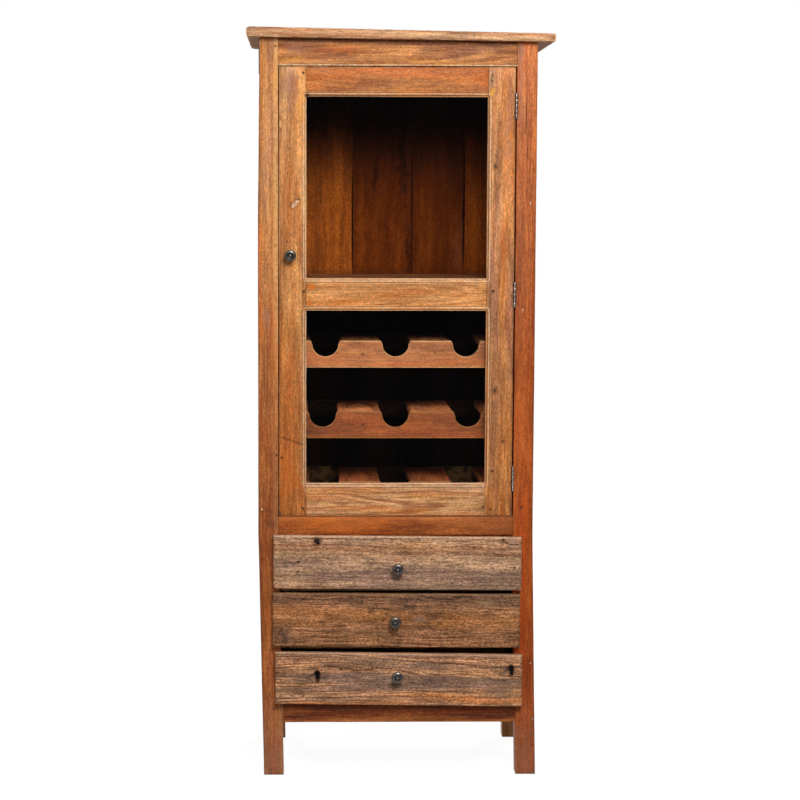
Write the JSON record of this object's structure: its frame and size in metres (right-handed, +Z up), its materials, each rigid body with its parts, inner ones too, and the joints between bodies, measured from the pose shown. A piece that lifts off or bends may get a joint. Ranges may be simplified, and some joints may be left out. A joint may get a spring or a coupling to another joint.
{
  "type": "wine cabinet",
  "caption": "Tall rustic wine cabinet on square legs, with a hinged glazed door over bottle racks and a display shelf, and overlay drawers with round knobs below.",
  "frame": {"origin": "on the floor, midway between the widest points of the piece in X and Y (top board ends; rear faces and drawer knobs)", "axes": "+X to the viewer's right, front faces -Y, +Z up"},
  "size_m": [0.69, 0.4216, 1.706],
  "materials": {
    "top_wood": "reclaimed hardwood, waxed, with knots, cracks and old holes",
    "post_wood": "reclaimed hardwood, waxed, with knots, cracks and old holes",
    "rail_wood": "reclaimed hardwood, waxed, with knots, cracks and old holes",
    "door_wood": "reclaimed hardwood, waxed, with knots, cracks and old holes",
    "drawer_wood": "reclaimed hardwood, waxed, with knots, cracks and old holes",
    "box_wood": "reclaimed hardwood, waxed, with knots, cracks and old holes",
    "side_wood": "reclaimed hardwood, waxed, with knots, cracks and old holes",
    "back_wood": "reclaimed hardwood, waxed, with knots, cracks and old holes",
    "rack_wood": "reclaimed hardwood, waxed, with knots, cracks and old holes",
    "glass": "clear, faint smudges",
    "knob_metal": "dark gunmetal, worn rim",
    "hinge_steel": "aged steel, brown patina"
  },
  "bodies": {
    "carcass": {"top_board": "top_wood", "front_post_left": "post_wood", "rear_post_left": "post_wood", "front_post_right": "post_wood", "rear_post_right": "post_wood", "header_rail": "rail_wood", "waist_rail": "rail_wood", "front_apron": "rail_wood", "side_frame_left": "side_wood", "side_frame_right": "side_wood", "back_panel": "back_wood", "rear_top_rail": "rail_wood", "rear_bottom_rail": "rail_wood", "display_shelf": "rack_wood", "cabinet_floor": "rack_wood", "drawer_deck_1": "box_wood", "drawer_deck_2": "box_wood", "drawer_deck_3": "box_wood", "door_stop": "rack_wood", "hinge_top_frame_leaf": "hinge_steel", "hinge_middle_frame_leaf": "hinge_steel", "hinge_bottom_frame_leaf": "hinge_steel", "rack_rail_1": "rack_wood", "rack_batten_1": "rack_wood", "rack_board_1_left": "rack_wood", "rack_end_1_left": "rack_wood", "rack_board_1_right": "rack_wood", "rack_end_1_right": "rack_wood", "rack_rail_2": "rack_wood", "rack_batten_2": "rack_wood", "rack_board_2_left": "rack_wood", "rack_end_2_left": "rack_wood", "rack_board_2_right": "rack_wood", "rack_end_2_right": "rack_wood", "rack_rail_3": "rack_wood", "rack_batten_3": "rack_wood", "rack_board_3_left": "rack_wood", "rack_end_3_left": "rack_wood", "rack_board_3_right": "rack_wood", "rack_end_3_right": "rack_wood"},
    "door": {"door_stile_left": "door_wood", "door_stile_right": "door_wood", "door_bottom_rail": "door_wood", "door_mid_rail": "door_wood", "door_top_rail": "door_wood", "door_glass_lower": "glass", "door_glass_upper": "glass", "door_knob": "knob_metal", "hinge_top_door_leaf": "hinge_steel", "hinge_middle_door_leaf": "hinge_steel", "hinge_bottom_door_leaf": "hinge_steel"},
    "drawer_1": {"drawer_1_front": "drawer_wood", "drawer_1_box": "box_wood", "drawer_1_knob": "knob_metal"},
    "drawer_2": {"drawer_2_front": "drawer_wood", "drawer_2_box": "box_wood", "drawer_2_knob": "knob_metal"},
    "drawer_3": {"drawer_3_front": "drawer_wood", "drawer_3_box": "box_wood", "drawer_3_knob": "knob_metal"}
  },
  "joints": [
    {"name": "door_hinge", "type": "hinge", "parent": "carcass", "child": "door", "pos_m": [0.2605, -0.1657, 1.1123], "axis": [0, 0, 1], "range_deg": [0, 170]},
    {"name": "drawer_1_slide", "type": "slide", "parent": "carcass", "child": "drawer_1", "axis": [0, -1, 0], "range_m": [0, 0.27]},
    {"name": "drawer_2_slide", "type": "slide", "parent": "carcass", "child": "drawer_2", "axis": [0, -1, 0], "range_m": [0, 0.27]},
    {"name": "drawer_3_slide", "type": "slide", "parent": "carcass", "child": "drawer_3", "axis": [0, -1, 0], "range_m": [0, 0.27]}
  ]
}
